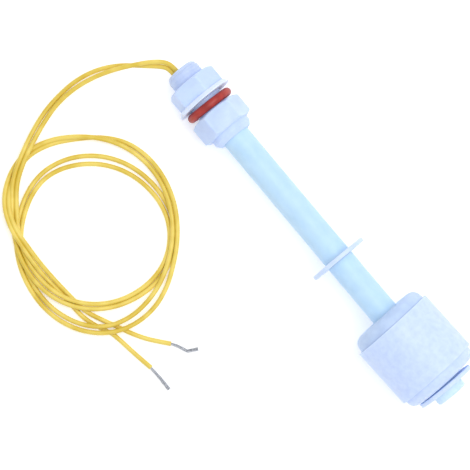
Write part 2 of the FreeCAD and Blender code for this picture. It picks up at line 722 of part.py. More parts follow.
def lead_route(rest, across, up, route):
    """Route of one lead, starting at the end of its inner wire."""
    tip = -size("thread_length")
    straight_out = [rest.multVec(stem_point(across, up, height)) for height in (tip, tip - LEAD_START_RUN)]
    return straight_out + [on_floor(rest, point) for point in route]


def closed_curve(rest, outline):
    """A smooth closed wire through points on the floor."""
    curve = Part.BSplineCurve()
    curve.interpolate([on_floor(rest, (x, y, 0)) for x, y in outline], PeriodicFlag=True)
    return Part.Wire(curve.toShape())


def wire_coil(rest):
    """Both leads lie in two and a half loose turns: one solid of their outer shape."""
    disc = Part.Face(closed_curve(rest, COIL_OUTSIDE))
    hole = Part.Face(closed_curve(rest, COIL_INSIDE))
    feature = doc.addObject("Part::Feature", "wire_coil")
    feature.Shape = disc.cut(hole).Faces[0].extrude(Vector(0, 0, size("coil_height")))
    return feature


# ---- the switch ----------------------------------------------------------------------------------

def build_switch():
    """Make every piece, lay the switch down and give each piece its place. Returns the pieces by node."""
    head, nut, seal, tube, plug = threaded_head(), lock_nut(), sealing_ring(), stem_tube(), end_plug()
    rings = [
        stop_ring("upper_stop_ring", f"{UPPER_GROOVE} + groove_play / 2"),
        stop_ring("lower_stop_ring", LOWER_RING),
    ]
    cup, cap, magnet = float_cup(), float_cap(), ring_magnet()
    sleeve, potting, glass = insulating_sleeve(), potting_plug(), reed_glass()
    blades = [reed_blade("reed_blade_upper", -1), reed_blade("reed_blade_lower", 1)]
    half_reed = "(reed_length / 2 + reed_lead_length)"
    before_lap = "conductor_run - conductor_jog"
    wires = [
        inner_wire("inner_wire_a", f"{REED_MIDDLE} - {half_reed} - {before_lap}"),
        inner_wire("inner_wire_b", f"{REED_MIDDLE} + {half_reed} - solder_length - {before_lap}"),
    ]
    doc.recompute()

    rest = rest_placement(cap, plug)
    leaning = lean_placement(rest, cup, cap)
    for piece in (head, nut, tube, plug, *rings, sleeve, potting):
        piece.Placement = rest
    for piece in (cup, cap, magnet):
        piece.Placement = leaning
    slant = Rotation(Vector(1, 0, 0), size("seal_tilt"))
    seal.Placement = rest * Placement(Vector(0, 0, -size("seal_gap")), slant)
    reed_middle = size("head_hexagon_height") + size("collar_height") + size("reed_depth")
    for piece in (glass, *blades):
        piece.Placement = rest * Placement(stem_point(size("reed_offset"), 0, reed_middle), Rotation())

    pieces = [head, nut, seal, tube, plug, *rings, cup, cap, magnet, sleeve, potting, glass, *blades]
    for wire, letter, solder, route in zip(wires, "ab", ("upper", "lower"), (LEAD_A, LEAD_B)):
        across, up = size(f"wire_{letter}_across"), size(f"wire_{letter}_up")
        strip = wire.Height.Value - size("thread_length")
        wire.Placement = rest * Placement(stem_point(across, up, -size("thread_length")), Rotation())
        points = conductor_points(across, up, strip)
        conductor = wire_node(f"conductor_{letter}", points, size("conductor_diameter"))
        joint = solder_joint(f"solder_joint_{solder}", points)
        conductor.Placement = joint.Placement = rest
        lead = wire_node(f"lead_wire_{letter}", lead_route(rest, across, up, route), size("wire_diameter"))
        pieces += [wire, conductor, joint, lead]

    pieces.append(wire_coil(rest))
    for node, route, alias in (
        ("wire_tail_a", TAIL_A, "wire_diameter"),
        ("wire_tail_b", TAIL_B, "wire_diameter"),
        ("bare_end_a", BARE_A, "bare_end_diameter"),
        ("bare_end_b", BARE_B, "bare_end_diameter"),
    ):
        pieces.append(wire_node(node, [on_floor(rest, point) for point in route], size(alias)))
    for piece in pieces:
        piece.Label = piece.Name
    doc.recompute()
    return pieces


def check(pieces):
    """Stop before anything is written if an object failed or a piece is not a sound solid."""
    failed = [item.Name for item in doc.Objects if {"Invalid", "Error"} & set(item.State)]
    unsound = [piece.Label for piece in pieces
               if piece.Shape.isNull() or not piece.Shape.isValid() or not piece.Shape.Solids]
    if failed or unsound:
        raise RuntimeError(f"failed: {failed}, not sound: {unsound}")


fill_sheet()
PIECES = build_switch()
check(PIECES)
os.makedirs("parts", exist_ok=True)
for made in PIECES:
    made.Shape.exportStep(f"parts/{made.Label}.step")
print(f"{len(PIECES)} pieces")
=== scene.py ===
import math

import bmesh
import bpy
from mathutils import Matrix, Vector


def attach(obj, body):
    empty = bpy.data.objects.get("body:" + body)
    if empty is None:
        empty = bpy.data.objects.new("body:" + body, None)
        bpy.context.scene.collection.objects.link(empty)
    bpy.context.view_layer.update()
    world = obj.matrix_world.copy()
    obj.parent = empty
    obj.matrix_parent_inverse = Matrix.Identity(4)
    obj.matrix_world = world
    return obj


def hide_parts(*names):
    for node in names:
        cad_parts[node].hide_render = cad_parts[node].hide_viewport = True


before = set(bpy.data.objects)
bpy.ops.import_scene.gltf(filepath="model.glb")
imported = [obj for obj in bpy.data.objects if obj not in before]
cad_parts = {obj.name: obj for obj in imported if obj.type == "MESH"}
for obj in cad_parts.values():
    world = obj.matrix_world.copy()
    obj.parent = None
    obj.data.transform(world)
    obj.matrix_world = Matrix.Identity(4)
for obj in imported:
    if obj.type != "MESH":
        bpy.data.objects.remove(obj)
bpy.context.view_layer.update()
scene = bpy.context.scene


# ---- bench, light and camera ---------------------------------------------------------------------
# The switch lies on a matt white light table inside a white tent, with one wide panel overhead.
# Light comes from all round and through the table, so there is hardly any shadow.

def linear(colour):
    """Turn an sRGB hex colour into the linear values that the shaders take."""
    channels = [int(colour[i:i + 2], 16) / 255 for i in (1, 3, 5)]
    return [c / 12.92 if c <= 0.04045 else ((c + 0.055) / 1.055) ** 2.4 for c in channels] + [1]


def add_node(tree, kind, sockets=None, links=None, **settings):
    """Add a node, set its sockets and settings, and link its inputs from (node, output) pairs."""
    node = tree.nodes.new(kind)
    for name, value in settings.items():
        setattr(node, name, value)
    for socket, value in (sockets or {}).items():
        node.inputs[socket].default_value = value
    for socket, (source, output) in (links or {}).items():
        tree.links.new(source.outputs[output], node.inputs[socket])
    return node


def new_material(name):
    """Return an empty node material, its tree and the object's own coordinates."""
    material = bpy.data.materials.new(name)
    material.use_nodes = True
    tree = material.node_tree
    tree.nodes.clear()
    return material, tree, add_node(tree, "ShaderNodeTexCoord")


def noise(tree, place, scale, detail, roughness=0.5):
    """Add a noise in the object's own coordinates."""
    return add_node(
        tree,
        "ShaderNodeTexNoise",
        {"Scale": scale, "Detail": detail, "Roughness": roughness},
        {"Vector": (place, "Object")},
    )


def bump(tree, grain, strength, distance):
    """Add a fine relief that follows a noise."""
    return add_node(
        tree,
        "ShaderNodeBump",
        {"Strength": strength, "Distance": distance},
        {"Height": (grain, "Fac")},
    )


def end_material(tree, sockets, links):
    """Close a material with one shader and its output."""
    shade = add_node(tree, "ShaderNodeBsdfPrincipled", sockets, links)
    add_node(tree, "ShaderNodeOutputMaterial", links={"Surface": (shade, "BSDF")})


BOARD_WHITE = "#FBFBFC"
BOARD_SIZE = 3.0
BOARD_GLOW = 0.25

board_finish, tree, place = new_material("matt_white_board")
relief = bump(tree, noise(tree, place, 400, 3), 0.02, 0.0002)
end_material(
    tree,
    {
        "Base Color": linear(BOARD_WHITE),
        "Roughness": 0.9,
        "Specular IOR Level": 0.2,
        "Emission Color": linear(BOARD_WHITE),
        "Emission Strength": BOARD_GLOW,
    },
    {"Normal": (relief, "Normal")},
)

half = BOARD_SIZE / 2
corners = [(-half, -half, 0), (half, -half, 0), (half, half, 0), (-half, half, 0)]
board_mesh = bpy.data.meshes.new("board")
board_mesh.from_pydata(corners, [], [(0, 1, 2, 3)])
board_mesh.materials.append(board_finish)
board = bpy.data.objects.new("board", board_mesh)
scene.collection.objects.link(board)

TENT_WHITE = "#FFFFFF"
TENT_GLOW = 0.75
world = bpy.data.worlds.new("light_tent")
world.use_nodes = True
world.node_tree.nodes.clear()
tent = add_node(
    world.node_tree,
    "ShaderNodeBackground",
    {"Color": linear(TENT_WHITE), "Strength": TENT_GLOW},
)
add_node(world.node_tree, "ShaderNodeOutputWorld", links={"Surface": (tent, "Background")})
scene.world = world
scene.view_settings.view_transform = "Standard"

PANEL_PLACE = Vector((0.05, 0.26, 0.86))
PANEL_WIDTH = 0.6
PANEL_POWER = 3.9
panel = bpy.data.lights.new("overhead_panel", "AREA")
panel.shape = "SQUARE"
panel.size = PANEL_WIDTH
panel.energy = PANEL_POWER
holder = bpy.data.objects.new("overhead_panel", panel)
holder.location = PANEL_PLACE
holder.rotation_mode = "QUATERNION"
holder.rotation_quaternion = (-PANEL_PLACE).to_track_quat("-Z", "Y")
scene.collection.objects.link(holder)

CAMERA_PLACE = (-0.01339, -0.01728, 0.6555)
CAMERA_TURN = 50.03
LENS = 182.9
SENSOR_WIDTH = 36
NEAREST = 0.01
FARTHEST = 20
camera_data = bpy.data.cameras.new("camera")
camera_data.lens = LENS
camera_data.sensor_width = SENSOR_WIDTH
camera_data.clip_start = NEAREST
camera_data.clip_end = FARTHEST
camera = bpy.data.objects.new("camera", camera_data)
camera.location = CAMERA_PLACE
camera.rotation_euler = (0, 0, math.radians(CAMERA_TURN))
scene.collection.objects.link(camera)
scene.camera = camera


# ---- lead wires ----------------------------------------------------------------------------------
# Two stranded hook-up wires in soft yellow PVC, extruded over the strands, 1.3 mm across.
# They come out of the potted thread, fall to the bench and lie in about two and a half loose turns.

WIRE = 0.0013
WIRE_ROUND_STEPS = 6
WIRE_RUN_STEPS = 8
BENCH_LIFT = 0.65
LAYER = 1.3
COIL_MIDDLE = (-38.57, -47.3)
FIRST_SPOKE = 180
SPOKE_STEP = 15
WIRE_A = {
    "length": 0.405,
    "exit": [(-57.26, -0.85, 8.24), (-59.56, -0.85, 8.13)],
    "fall": [
        (-61.8, -1.9, 8.0), (-64.2, -4.8, 7.5), (-66.6, -8.9, 6.7), (-69.3, -14.1, 5.5),
        (-71.3, -19.7, 4.0), (-72.4, -25.6, 2.6), (-72.2, -31.9, 1.7), (-70.7, -37.3, 1.7),
        (-68.8, -42.3, 2.1),
    ],
    "spokes": [
        27.6, 21.6, 19.2, 18.4, 18.5, 18.9, 19.7, 21.0, 21.0, 19.8,
        19.3, 19.4, 20.0, 19.2, 19.5, 20.9, 23.3, 25.2, 23.5, 21.9,
        22.1, 23.7, 25.5, 27.0, 28.8, 25.4, 18.8, 17.0, 18.9, 26.7,
    ],
    "layers": [
        (180, 1.2), (210, 1), (320, 1), (352, 0), (650, 0), (678, 1.05), (700, 1),
        (735, 0.7), (755, 1), (800, 1), (828, 0.15), (845, 1), (868, 1), (893, 0),
        (912, 0), (941, 2.05), (962, 2.05), (1006, 0), (1050, 0),
    ],
    "tail": [(-14.3, -60.4, 0.65), (-10.5, -59.8, 0.65), (-5.6, -59.2, 0.65), (-0.3, -58.3, 0.65)],
}
WIRE_B = {
    "length": 0.4205,
    "exit": [(-57.24, -2.0, 7.57), (-59.54, -2.0, 7.46)],
    "fall": [
        (-61.5, -3.4, 6.9), (-64.0, -6.1, 6.0), (-66.7, -8.9, 5.1), (-69.8, -12.7, 4.3),
        (-72.4, -17.7, 3.4), (-73.8, -23.7, 2.2), (-73.7, -30.0, 1.3), (-72.7, -35.9, 1.3),
        (-70.7, -41.5, 1.9),
    ],
    "spokes": [
        29.0, 22.9, 20.5, 19.8, 19.9, 20.2, 21.0, 22.4, 22.4, 21.5,
        21.4, 21.6, 21.6, 20.5, 20.8, 22.2, 24.9, 27.0, 26.1, 23.4,
        23.4, 25.0, 26.8, 26.3, 27.6, 24.2, 17.5, 15.6, 17.5, 23.9,
    ],
    "layers": [
        (180, 1.2), (212, 1), (320, 1), (352, 0), (646, 0), (676, 1.05), (700, 1),
        (735, 0.7), (755, 1), (800, 1), (835, 0), (913, 0), (938, 2.1), (962, 2.05),
        (1004, 0), (1050, 0),
    ],
    "tail": [
        (-13.9, -57.7, 0.65), (-10.8, -56.3, 0.65), (-7.5, -54.4, 0.65), (-4.6, -52.2, 0.65),
        (-1.8, -49.9, 0.65),
    ],
}


def layer_at(layers, angle):
    """Height of a turn in wire thicknesses, easing between the crossings listed."""
    for (start, low), (end, high) in zip(layers, layers[1:]):
        if angle <= end:
            part = max(0, (angle - start) / (end - start))
            return low + (high - low) * part * part * (3 - 2 * part)
    return layers[-1][1]


def coil_turns(spokes, layers):
    """Points of the turns, with one more between each two spokes."""
    last = len(spokes) - 1
    points = []
    for step in range(2 * last + 1):
        i = step // 2
        radius = spokes[i]
        if step % 2:
            # A cubic through four spokes gives the radius halfway between the middle two.
            before, after = spokes[max(0, i - 1)], spokes[min(last, i + 2)]
            radius = (9 * (spokes[i] + spokes[i + 1]) - before - after) / 16
        angle = FIRST_SPOKE + SPOKE_STEP * step
        # A spline runs a little inside its points, by this much on an arc of one step.
        radius *= 2 / (1 + math.cos(math.radians(SPOKE_STEP)))
        across = radius * math.cos(math.radians(angle))
        along = radius * math.sin(math.radians(angle))
        height = BENCH_LIFT + LAYER * layer_at(layers, angle)
        points.append((COIL_MIDDLE[0] + across, COIL_MIDDLE[1] + along, height))
    return points


def wire_curve(name, points, diameter):
    """Make a round wire as one smooth spline through its route, in millimetres."""
    curve = bpy.data.curves.new(name, "CURVE")
    curve.dimensions = "3D"
    curve.bevel_depth = diameter / 2
    curve.bevel_resolution = WIRE_ROUND_STEPS
    curve.use_fill_caps = True
    curve.resolution_u = WIRE_RUN_STEPS
    spline = curve.splines.new("NURBS")
    spline.points.add(len(points) - 1)
    for control, point in zip(spline.points, points):
        control.co = (point[0] / 1000, point[1] / 1000, point[2] / 1000, 1)
    spline.order_u = 3
    spline.use_endpoint_u = True
    wire = bpy.data.objects.new(name, curve)
    scene.collection.objects.link(wire)
    return wire


def blend(tree, cloud, dark, light, start=0, end=1):
    """Blend two hex colours over a range of a noise's value."""
    tint = add_node(tree, "ShaderNodeValToRGB", links={"Fac": (cloud, "Fac")})
    low, high = tint.color_ramp.elements
    low.position, low.color = start, linear(dark)
    high.position, high.color = end, linear(light)
    return tint


# Soft PVC, extruded: a satin skin with faint die lines and a slight waviness.
PVC_YELLOW = "#EAD265"
PVC_SHADE = "#D9BC40"
pvc, tree, place = new_material("extruded_yellow_pvc")
tint = blend(tree, noise(tree, place, 160, 2), PVC_SHADE, PVC_YELLOW, 0.35, 0.6)
relief = bump(tree, noise(tree, place, 3000, 3), 0.15, 0.00005)
end_material(
    tree,
    {"Roughness": 0.42, "IOR": 1.53, "Subsurface Weight": 0.05, "Subsurface Scale": 0.0003},
    {"Base Color": (tint, "Color"), "Normal": (relief, "Normal")},
)


def wire_route(wire):
    """The whole route of one wire, from the potting to where its insulation ends."""
    return wire["exit"] + wire["fall"] + coil_turns(wire["spokes"], wire["layers"]) + wire["tail"]


wire_a = wire_curve("yellow_wire_a", wire_route(WIRE_A), WIRE)
wire_b = wire_curve("yellow_wire_b", wire_route(WIRE_B), WIRE)
for wire in (wire_a, wire_b):
    wire.data.materials.append(pvc)


# ---- stripped ends -------------------------------------------------------------------------------
# The last 8 mm of each wire is stripped: seven tinned copper strands, given a light twist by hand.
# The strands spread a little towards the tip and keep the kinks of handling.

STRAND = 0.00025
STRAND_TURNS = 0.7
STRAND_SPREAD = 0.6
OUTER_STRANDS = 6
STRAND_RUN_STEPS = 40
STRAND_ROUND_STEPS = 12
BARE_A = [(-0.9, -58.4, 0.65), (1.5, -58.25, 0.65), (4.3, -58.2, 0.6), (7.5, -58.3, 0.55)]
BARE_B = [
    (-2.3, -50.3, 0.65), (-0.7, -49.1, 0.65), (1.2, -48.3, 0.6), (2.5, -47.85, 0.55),
    (2.75, -47.55, 0.55), (3.2, -46.7, 0.55), (4.1, -45.1, 0.55),
]

# Tinned copper wire, drawn and tinned: dull silver-grey with a soft gleam.
TIN_LIGHT = "#C9CCD2"
TIN_DARK = "#9A9DA6"
tinned, tree, place = new_material("tinned_copper_strand")
tint = blend(tree, noise(tree, place, 1500, 3), TIN_DARK, TIN_LIGHT)
end_material(tree, {"Metallic": 0.85, "Roughness": 0.38}, {"Base Color": (tint, "Color")})


def new_tree(name, inputs, output):
    """Return a geometry node tree with named inputs and one output, and the node of its inputs."""
    tree = bpy.data.node_groups.new(name, "GeometryNodeTree")
    for label, kind in inputs.items():
        tree.interface.new_socket(label, in_out="INPUT", socket_type=f"NodeSocket{kind}")
    tree.interface.new_socket(output, in_out="OUTPUT", socket_type="NodeSocketGeometry")
    return tree, add_node(tree, "NodeGroupInput")


def end_tree(tree, given, mesh, output):
    """Close a node tree: make its mesh real, give it its finish and pass it out."""
    real = add_node(tree, "GeometryNodeRealizeInstances", links={"Geometry": (mesh, "Mesh")})
    coated = add_node(
        tree,
        "GeometryNodeSetMaterial",
        links={"Geometry": (real, "Geometry"), "Material": (given, "Finish")},
    )
    add_node(tree, "NodeGroupOutput", links={output: (coated, "Geometry")})


def calculate(tree, operation, *terms):
    """Add a math node; each term is a number or a (node, output) pair."""
    numbers = {i: term for i, term in enumerate(terms) if not isinstance(term, tuple)}
    pairs = {i: term for i, term in enumerate(terms) if isinstance(term, tuple)}
    return add_node(tree, "ShaderNodeMath", numbers, pairs, operation=operation)


strands, given = new_tree("twisted_strands", {
    "Route": "Geometry",
    "Outer strands": "Int",
    "Strand diameter": "Float",
    "Turns": "Float",
    "Spread": "Float",
    "Finish": "Material",
}, "Strands")
fine = add_node(
    strands,
    "GeometryNodeResampleCurve",
    {"Count": STRAND_RUN_STEPS},
    {"Curve": (given, "Route")},
)
copies = add_node(
    strands,
    "GeometryNodeDuplicateElements",
    links={"Geometry": (fine, "Curve"), "Amount": (given, "Outer strands")},
    domain="SPLINE",
)
along = add_node(strands, "GeometryNodeSplineParameter")
share = calculate(strands, "DIVIDE", (copies, "Duplicate Index"), (given, "Outer strands"))
wound = calculate(strands, "MULTIPLY_ADD", (along, "Factor"), (given, "Turns"), (share, 0))
angle = calculate(strands, "MULTIPLY", (wound, 0), math.tau)
looser = calculate(strands, "MULTIPLY_ADD", (along, "Factor"), (given, "Spread"), 1.0)
distance = calculate(strands, "MULTIPLY", (given, "Strand diameter"), (looser, 0))
side = add_node(strands, "GeometryNodeInputNormal")
forward = add_node(strands, "GeometryNodeInputTangent")
outward = add_node(
    strands,
    "ShaderNodeVectorRotate",
    links={"Vector": (side, "Normal"), "Axis": (forward, "Tangent"), "Angle": (angle, 0)},
)
offset = add_node(
    strands,
    "ShaderNodeVectorMath",
    links={0: (outward, "Vector"), "Scale": (distance, 0)},
    operation="SCALE",
)
laid = add_node(
    strands,
    "GeometryNodeSetPosition",
    links={"Geometry": (copies, "Geometry"), "Offset": (offset, "Vector")},
)
both = add_node(strands, "GeometryNodeJoinGeometry")
strands.links.new(laid.outputs["Geometry"], both.inputs["Geometry"])
strands.links.new(fine.outputs["Curve"], both.inputs["Geometry"])
radius = calculate(strands, "MULTIPLY", (given, "Strand diameter"), 0.5)
circle = add_node(
    strands,
    "GeometryNodeCurvePrimitiveCircle",
    {"Resolution": STRAND_ROUND_STEPS},
    {"Radius": (radius, 0)},
)
tubes = add_node(
    strands,
    "GeometryNodeCurveToMesh",
    {"Fill Caps": True},
    {"Curve": (both, "Geometry"), "Profile Curve": (circle, "Curve")},
)
end_tree(strands, given, tubes, "Strands")


def grow(name, source, group, inputs):
    """Run a node tree on an object and keep its result as a plain mesh object."""
    modifier = source.modifiers.new(group.name, "NODES")
    modifier.node_group = group
    for item in group.interface.items_tree:
        if item.in_out == "INPUT" and item.name in inputs:
            modifier[item.identifier] = inputs[item.name]
    ready = source.evaluated_get(bpy.context.evaluated_depsgraph_get())
    mesh = bpy.data.meshes.new_from_object(ready)
    mesh.name = name
    bpy.data.objects.remove(source)
    piece = bpy.data.objects.new(name, mesh)
    scene.collection.objects.link(piece)
    return piece


for letter, wire, facts, bare in (("a", wire_a, WIRE_A, BARE_A), ("b", wire_b, WIRE_B, BARE_B)):
    tip = grow(f"bare_strands_{letter}", wire_curve(f"bare_route_{letter}", bare, 0), strands, {
        "Outer strands": OUTER_STRANDS,
        "Strand diameter": STRAND,
        "Turns": STRAND_TURNS,
        "Spread": STRAND_SPREAD,
        "Finish": tinned,
    })
    tip.data.shade_smooth()
    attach(tip, "root")
    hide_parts(f"bare_end_{letter}")
    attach(wire, "root")
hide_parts("lead_wire_a", "wire_tail_a", "wire_coil")
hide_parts("lead_wire_b", "wire_tail_b")


# ---- threaded head -------------------------------------------------------------------------------
# One injection moulding in natural polypropylene: hollow thread, hexagon, and the collar that the
# stem tube is glued into. The mould leaves small roundings on every edge.

SLOPE = 2.61896
SEALING_FACE = Vector((-0.042871, 0, 0.008547))
seat = Matrix.Translation(SEALING_FACE) @ Matrix.Rotation(math.radians(90 - SLOPE), 4, "Y")

# Radii and heights in millimetres; heights count from the sealing face towards the float.
THREAD = 4.75
THREAD_ROOT = 4.45
THREAD_END = -14.4
THREAD_TIP = 3.85
TIP_CONE = 1.4
TIP_FLAT = 0.1
ROOT_ON_CONE = 0.45
RUNOUT = 0.6
RUNOUT_SPREAD = 0.5
THREAD_PITCH = 1.0
THREAD_FOOT = 0.9
THREAD_CREST = 0.3
THREAD_START = 0.35
THREAD_RUN = 13.6
THREAD_STEPS = 72
HEAD_FLATS = 13.6
HEAD_HEIGHT = 6.5
HEAD_TURN = 28
HEAD_FALL = 0.45
HEAD_EDGE = 0.3
COLLAR = 5.95
COLLAR_END = 9.2
COLLAR_TIP = 5.0
COLLAR_TAPER = 1.3
CORE = COLLAR - 0.9
CORE_HOLE = COLLAR - 1
COLLAR_SUNK = 0.4
WIRE_PASSAGE = 3.0
SOCKET = 4.03
SOCKET_FLOOR = 1.7
ROUND_STEPS = 8
ROUND_SEGMENTS = 128
SHARP_ANGLE = 32
WELD = 1e-4


def rounded(outline, edges):
    """Round the corners of a closed outline; edges gives each corner its radius, 0 for sharp."""
    result = []
    count = len(outline)
    for i, corner in enumerate(outline):
        radius = edges.get(i, 0)
        here = Vector(corner)
        if not radius:
            result.append(tuple(here))
            continue
        back = (Vector(outline[i - 1]) - here).normalized()
        ahead = (Vector(outline[(i + 1) % count]) - here).normalized()
        reach = radius / math.tan(back.angle(ahead) / 2)
        start, end = here + back * reach, here + ahead * reach
        for step in range(ROUND_STEPS + 1):
            t = step / ROUND_STEPS
            point = start * (1 - t) ** 2 + here * 2 * t * (1 - t) + end * t ** 2
            result.append(tuple(point))
    return result


def keep(name, build, placement, material):
    """Turn a bmesh drawn in millimetres about the stem into a piece in its place."""
    bmesh.ops.remove_doubles(build, verts=build.verts, dist=WELD)
    bmesh.ops.recalc_face_normals(build, faces=build.faces)
    mesh = bpy.data.meshes.new(name)
    build.to_mesh(mesh)
    build.free()
    mesh.transform(placement @ Matrix.Scale(0.001, 4))
    mesh.materials.append(material)
    mesh.shade_smooth()
    mesh.set_sharp_from_angle(angle=math.radians(SHARP_ANGLE))
    piece = bpy.data.objects.new(name, mesh)
    scene.collection.objects.link(piece)
    return piece


def bridge(build, rows):
    """Skin closed sections, each with the next."""
    for here, ahead in zip(rows, rows[1:]):
        for j in range(len(here)):
            k = (j + 1) % len(here)
            build.faces.new((here[j], here[k], ahead[k], ahead[j]))


def turn(build, outline, segments=ROUND_SEGMENTS):
    """Revolve a closed (radius, height) outline about the stem."""
    rows = []
    for i in range(segments):
        angle = math.tau * i / segments
        rows.append([
            build.verts.new((radius * math.cos(angle), radius * math.sin(angle), height))
            for radius, height in outline
        ])
    bridge(build, rows + rows[:1])


def direction(angle):
    """Unit vector across the stem at an angle in radians."""
    return Vector((math.cos(angle), math.sin(angle)))


HEXAGON_CORNER = 0.35
CORNER_STEPS = 6
FLAT_STEPS = 12
CHAMFER_START = 0.985
EDGE_CUT = 0.3


def hexagon_outline(across_flats, first_corner, corner_round):
    """Points of a hexagon with rounded corners, anticlockwise from the first corner."""
    inner = (across_flats / 2 - corner_round) / math.cos(math.radians(30))
    points = []
    for corner in range(6):
        middle = first_corner + 60 * corner
        centre = direction(math.radians(middle)) * inner
        for step in range(CORNER_STEPS + 1):
            angle = math.radians(middle - 30 + 60 / CORNER_STEPS * step)
            points.append(centre + direction(angle) * corner_round)
        start = points[-1]
        next_centre = direction(math.radians(middle + 60)) * inner
        end = next_centre + direction(math.radians(middle + 30)) * corner_round
        for step in range(1, FLAT_STEPS):
            points.append(start.lerp(end, step / FLAT_STEPS))
    return points


def hexagon_block(build, flats, first_corner, low, high, hole, low_fall, high_fall, edge):
    """A hexagon with its corners chamfered on one or both faces and a round hole."""
    outline = hexagon_outline(flats, first_corner, HEXAGON_CORNER)
    widest = max(point.length for point in outline)
    circle = flats / 2 * CHAMFER_START
    cut = edge * EDGE_CUT
    rows = []
    for point in outline:
        radius = point.length
        way = point / radius
        past = max(0, radius - circle) / (widest - circle)
        bottom = low + low_fall * past
        top = high - high_fall * past
        section = [
            (hole, low), (min(circle, radius - edge), low), (radius - edge, bottom),
            (radius - cut, bottom + cut), (radius, bottom + edge),
            (radius, top - edge), (radius - cut, top - cut), (radius - edge, top),
            (min(circle, radius - edge), high), (hole, high),
        ]
        rows.append([build.verts.new((way.x * r, way.y * r, z)) for r, z in section])
    bridge(build, rows + rows[:1])


# Light travels inside the walls of natural polypropylene, so its hollows never go quite dark; a
# faint painted glow on every moulded plastic stands in for that carried light.
PAINTED_GLOW_COLOUR = "#A9BCDC"
PAINTED_GLOW_STRENGTH = 0.1


def moulded_plastic(name, light, dark, bounce, mottle, grain_size):
    """Natural polypropylene: waxy, slightly see-through, clouded where it cooled unevenly, with a
    faint painted glow.
    """
    material, tree, place = new_material(name)
    cloud = noise(tree, place, 1000 / mottle, 4, 0.6)
    tint = blend(tree, cloud, dark, light, 0.3, 0.65)
    relief = bump(tree, noise(tree, place, 1000 / grain_size, 3), 0.25, 0.00006)
    end_material(
        tree,
        {
            "Roughness": 0.5,
            "IOR": 1.49,
            "Subsurface Weight": bounce,
            "Subsurface Scale": 0.0015,
            "Subsurface Radius": (0.8, 1.0, 1.2),
            # Painted glow: the plastic gives off a little bluish light of its own, standing in for
            # light carried through its walls.
            "Emission Color": linear(PAINTED_GLOW_COLOUR),
            "Emission Strength": PAINTED_GLOW_STRENGTH,
        },
        {"Base Color": (tint, "Color"), "Normal": (relief, "Normal")},
    )
    return material


head_plastic = moulded_plastic("moulded_polypropylene", "#C2D5F8", "#B7CAF1", 0.3, 4, 0.25)

thread_ridge, given = new_tree("thread_ridge", {
    "Length": "Float",
    "Pitch": "Float",
    "Root radius": "Float",
    "Ridge height": "Float",
    "Finish": "Material",
}, "Ridge")
turns = calculate(thread_ridge, "DIVIDE", (given, "Length"), (given, "Pitch"))
helix = add_node(
    thread_ridge,
    "GeometryNodeCurveSpiral",
    {"Resolution": THREAD_STEPS},
    {
        "Rotations": (turns, 0),
        "Start Radius": (given, "Root radius"),
        "End Radius": (given, "Root radius"),
        "Height": (given, "Length"),
    },
)
upright = add_node(
    thread_ridge,
    "GeometryNodeSetCurveNormal",
    links={"Curve": (helix, "Curve")},
    mode="Z_UP",
)
foot = calculate(thread_ridge, "MULTIPLY", (given, "Pitch"), THREAD_FOOT)
crest = calculate(thread_ridge, "MULTIPLY", (given, "Pitch"), THREAD_CREST)
tooth = add_node(
    thread_ridge,
    "GeometryNodeCurvePrimitiveQuadrilateral",
    links={"Bottom Width": (foot, 0), "Top Width": (crest, 0), "Height": (given, "Ridge height")},
    mode="TRAPEZOID",
)
# The crest of the tooth is turned away from the stem.
outward = add_node(
    thread_ridge,
    "GeometryNodeTransform",
    {"Rotation": (0, 0, math.radians(-90))},
    {"Geometry": (tooth, "Curve")},
)
ridge = add_node(
    thread_ridge,
    "GeometryNodeCurveToMesh",
    {"Fill Caps": True},
    {"Curve": (upright, "Curve"), "Profile Curve": (outward, "Geometry")},
)
end_tree(thread_ridge, given, ridge, "Ridge")

seed = bpy.data.objects.new("thread_seed", bpy.data.meshes.new("thread_seed"))
scene.collection.objects.link(seed)
helix_piece = grow("thread_helix", seed, thread_ridge, {
    "Length": THREAD_RUN,
    "Pitch": THREAD_PITCH,
    "Root radius": THREAD_ROOT + (THREAD - THREAD_ROOT) / 2,
    "Ridge height": THREAD - THREAD_ROOT,
    "Finish": head_plastic,
})

build = bmesh.new()
hexagon_block(
    build, HEAD_FLATS, HEAD_TURN, 0, HEAD_HEIGHT, CORE_HOLE, HEAD_FALL, HEAD_FALL, HEAD_EDGE,
)
# The shank is one revolved wall from the tip to the collar; inside the hexagon it runs narrower.
shank = [
    (WIRE_PASSAGE, THREAD_END), (THREAD_TIP - TIP_FLAT, THREAD_END),
    (THREAD_ROOT, THREAD_END + TIP_CONE * ROOT_ON_CONE), (THREAD_ROOT, -RUNOUT),
    (THREAD_ROOT + RUNOUT_SPREAD, 0), (CORE, 0), (CORE, HEAD_HEIGHT - COLLAR_SUNK),
    (COLLAR, HEAD_HEIGHT - COLLAR_SUNK), (COLLAR, COLLAR_END - COLLAR_TAPER),
    (COLLAR_TIP, COLLAR_END),
    (SOCKET, COLLAR_END), (SOCKET, SOCKET_FLOOR), (WIRE_PASSAGE, SOCKET_FLOOR),
]
turn(build, rounded(shank, {0: 0.2, 1: 0.2, 8: 0.25, 9: 0.15}))
# The ridge is cut back to the cone at the thread's tip.
helix_mesh = helix_piece.data
for vertex in helix_mesh.vertices:
    vertex.co.z += THREAD_END + THREAD_START
    reach = math.hypot(vertex.co.x, vertex.co.y)
    limit = THREAD_TIP + (vertex.co.z - THREAD_END) * (THREAD - THREAD_TIP) / TIP_CONE
    if reach > limit > 0:
        vertex.co.x *= limit / reach
        vertex.co.y *= limit / reach
build.from_mesh(helix_mesh)
threaded_head = keep("moulded_head", build, seat, head_plastic)
bpy.data.objects.remove(helix_piece)
bpy.data.meshes.remove(helix_mesh)
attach(threaded_head, "root")
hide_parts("threaded_head")


# ---- lock nut ------------------------------------------------------------------------------------
# A moulded polypropylene hexagon nut with a conical flange, run up the thread by hand.
# It stops short of the rubber ring and leaves a dark gap.

